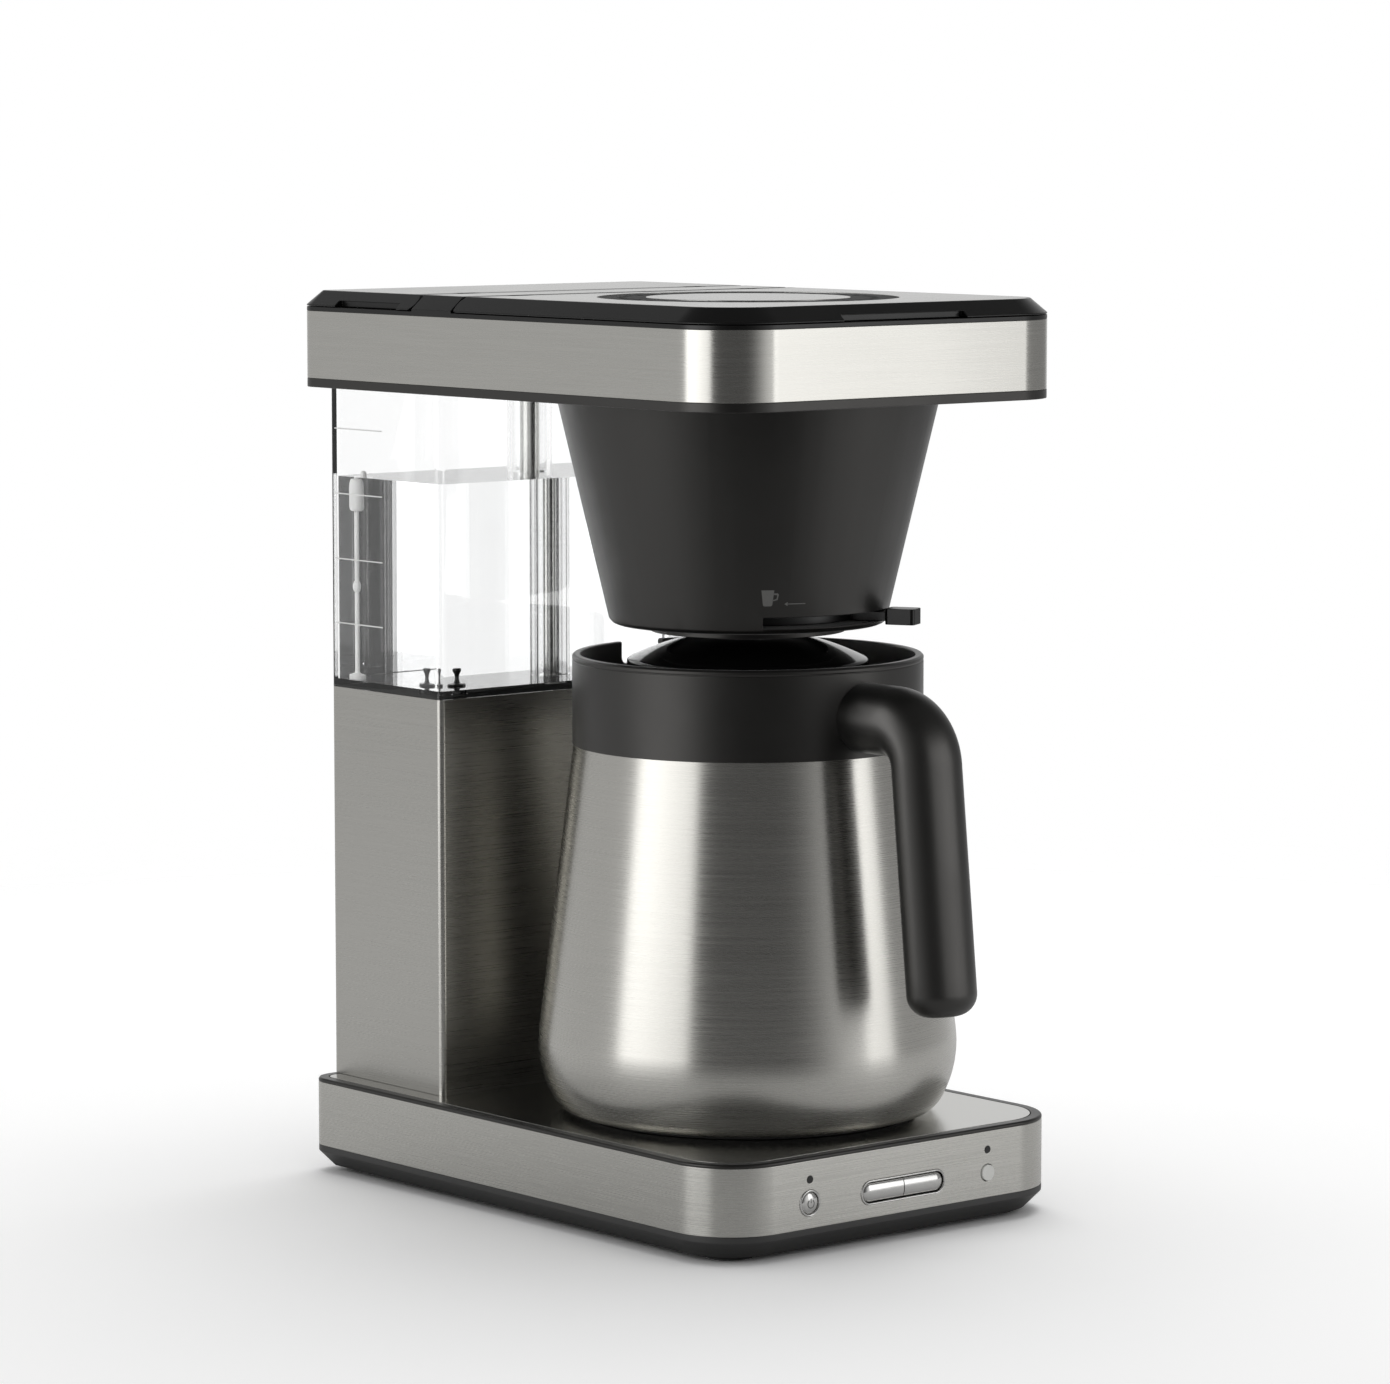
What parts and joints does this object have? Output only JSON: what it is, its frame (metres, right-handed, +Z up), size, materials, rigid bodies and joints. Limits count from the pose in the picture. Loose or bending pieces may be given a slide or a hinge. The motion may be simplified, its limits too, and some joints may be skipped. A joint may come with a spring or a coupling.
{
  "type": "drip coffee maker",
  "caption": "Drip coffee maker with a clear water tank over a steel column, a black cone basket with a drip lever and a steel thermal carafe on a flat base.",
  "frame": {"origin": "on the table, in the middle of the whole footprint, handle included", "axes": "+Z up, -Y the front with the controls and the carafe's handle, +X to the right seen from the front"},
  "size_m": [0.178, 0.2986, 0.356],
  "materials": {
    "rubber": "matte",
    "black_plastic": "satin",
    "gloss_black": "gloss",
    "white_plastic": "gloss",
    "band_steel": "brushed along the length",
    "plate_steel": "brushed",
    "jug_steel": "brushed round the axis",
    "inner_steel": "plain",
    "button_metal": "polished",
    "fastener": "plain",
    "clear_plastic": "clear",
    "lamp": "clear",
    "alloy": "cast",
    "board": "gloss",
    "silicone": "matte"
  },
  "bodies": {
    "machine": {"rubber_feet": "rubber", "base_tray": "black_plastic", "base_screws": "fastener", "base_band": "band_steel", "base_deck": "black_plastic", "base_plate": "plate_steel", "cord_gland": "black_plastic", "button_carrier": "black_plastic", "control_board": "board", "tact_switches": "black_plastic", "power_bezel": "button_metal", "brew_bezel": "button_metal", "power_led": "lamp", "clean_led": "lamp", "column_shell": "band_steel", "column_cover": "black_plastic", "column_shelf": "black_plastic", "boiler_bracket": "inner_steel", "boiler": "alloy", "thermostat": "black_plastic", "check_valve": "white_plastic", "inlet_hose": "silicone", "riser_tube": "inner_steel", "water_spout": "black_plastic", "water_tank": "clear_plastic", "tank_outlet": "gloss_black", "float_guide": "white_plastic", "head_tray": "black_plastic", "head_band": "band_steel", "head_rim": "gloss_black", "bridge_plate": "plate_steel", "tank_lid_pin": "fastener", "brew_lid_pin": "fastener", "brew_basket": "black_plastic", "basket_base": "black_plastic"},
    "tank_lid": {"tank_lid_frame": "gloss_black", "tank_lid_plate": "plate_steel"},
    "brew_lid": {"brew_lid_frame": "gloss_black", "brew_lid_plate": "plate_steel", "brew_lid_ring": "gloss_black", "brew_lid_disc": "plate_steel", "shower_head": "black_plastic"},
    "lever": {"drip_lever": "gloss_black"},
    "float": {"level_float": "white_plastic"},
    "carafe": {"carafe_shell": "jug_steel", "carafe_liner": "inner_steel", "carafe_foot": "rubber", "carafe_collar": "black_plastic", "carafe_handle": "black_plastic", "handle_screws": "fastener"},
    "carafe_lid": {"carafe_lid": "gloss_black", "lid_gasket": "silicone", "lid_tube": "black_plastic"},
    "power_button": {"power_button": "button_metal"},
    "brew_button_left": {"brew_button_left": "button_metal"},
    "brew_button_right": {"brew_button_right": "button_metal"},
    "clean_button": {"clean_button": "white_plastic"}
  },
  "joints": [
    {"name": "tank_lid_hinge", "type": "hinge", "parent": "machine", "child": "tank_lid", "pos_m": [0, 0.07722, 0.353], "axis": [1, 0, 0], "range_deg": [0, 90]},
    {"name": "brew_lid_hinge", "type": "hinge", "parent": "machine", "child": "brew_lid", "pos_m": [0, 0.04542, 0.353], "axis": [-1, 0, 0], "range_deg": [0, 90]},
    {"name": "drip_lever_turn", "type": "hinge", "parent": "machine", "child": "lever", "pos_m": [0, -0.02388, 0.2344], "axis": [0, 0, 1], "range_deg": [-58, 0]},
    {"name": "float_rise", "type": "slide", "parent": "machine", "child": "float", "axis": [0, 0, 1], "range_m": [-0.064, 0]},
    {"name": "carafe_slide", "type": "slide", "parent": "machine", "child": "carafe", "axis": [0, -1, 0], "range_m": [0, 0.18]},
    {"name": "carafe_lid_turn", "type": "hinge", "parent": "carafe", "child": "carafe_lid", "pos_m": [0, -0.02388, 0.206], "axis": [0, 0, 1], "range_deg": [0, 60]},
    {"name": "power_button_press", "type": "slide", "parent": "machine", "child": "power_button", "axis": [0, 1, 0], "range_m": [0, 0.001], "stiffness_N_per_m": 900, "springref_m": -0.001},
    {"name": "brew_button_left_press", "type": "slide", "parent": "machine", "child": "brew_button_left", "axis": [0, 1, 0], "range_m": [0, 0.001], "stiffness_N_per_m": 900, "springref_m": -0.001},
    {"name": "brew_button_right_press", "type": "slide", "parent": "machine", "child": "brew_button_right", "axis": [0, 1, 0], "range_m": [0, 0.001], "stiffness_N_per_m": 900, "springref_m": -0.001},
    {"name": "clean_button_press", "type": "slide", "parent": "machine", "child": "clean_button", "axis": [0, 1, 0], "range_m": [0, 0.001], "stiffness_N_per_m": 900, "springref_m": -0.001}
  ]
}
